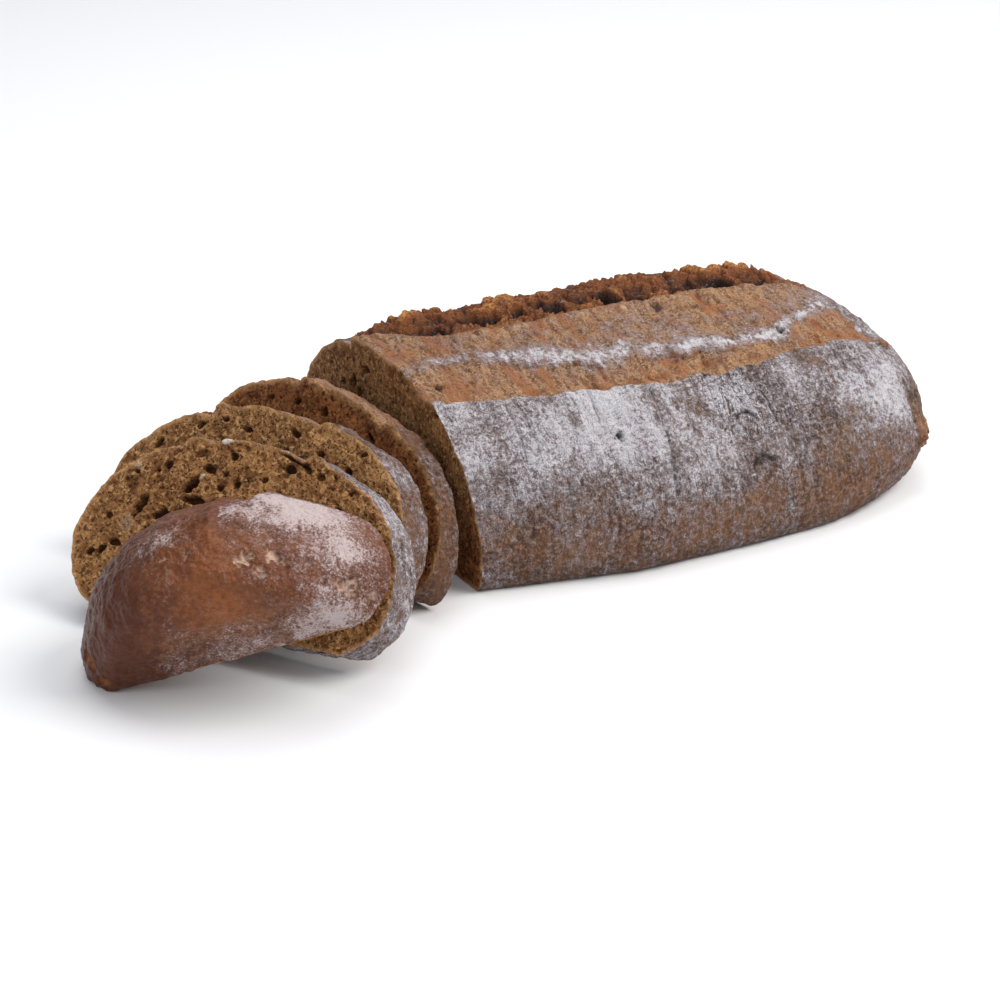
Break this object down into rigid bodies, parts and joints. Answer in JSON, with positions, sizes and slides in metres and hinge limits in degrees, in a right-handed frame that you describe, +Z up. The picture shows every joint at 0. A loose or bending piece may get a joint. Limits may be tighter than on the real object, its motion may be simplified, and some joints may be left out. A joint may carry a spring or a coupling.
{
  "type": "dark hearth loaf, part sliced",
  "caption": "Free-form dark loaf with lengthwise scores and a floured crust, cut at one end, its slices leaning together behind the heel.",
  "frame": {"origin": "under the middle of the whole arrangement, on the plane that the pieces rest on", "axes": "+X along the loaf from its cut face to its uncut end, +Y to the side with the torn gash, +Z up"},
  "size_m": [0.3323, 0.2, 0.0634],
  "materials": {
    "crust": "dry browned crust, dusted with pale flour",
    "crumb": "matt open crumb with pores"
  },
  "bodies": {
    "root": {"loaf": "crust", "slice_front": "crumb", "slice_middle": "crumb", "slice_back": "crumb", "heel": "crust"}
  },
  "joints": []
}
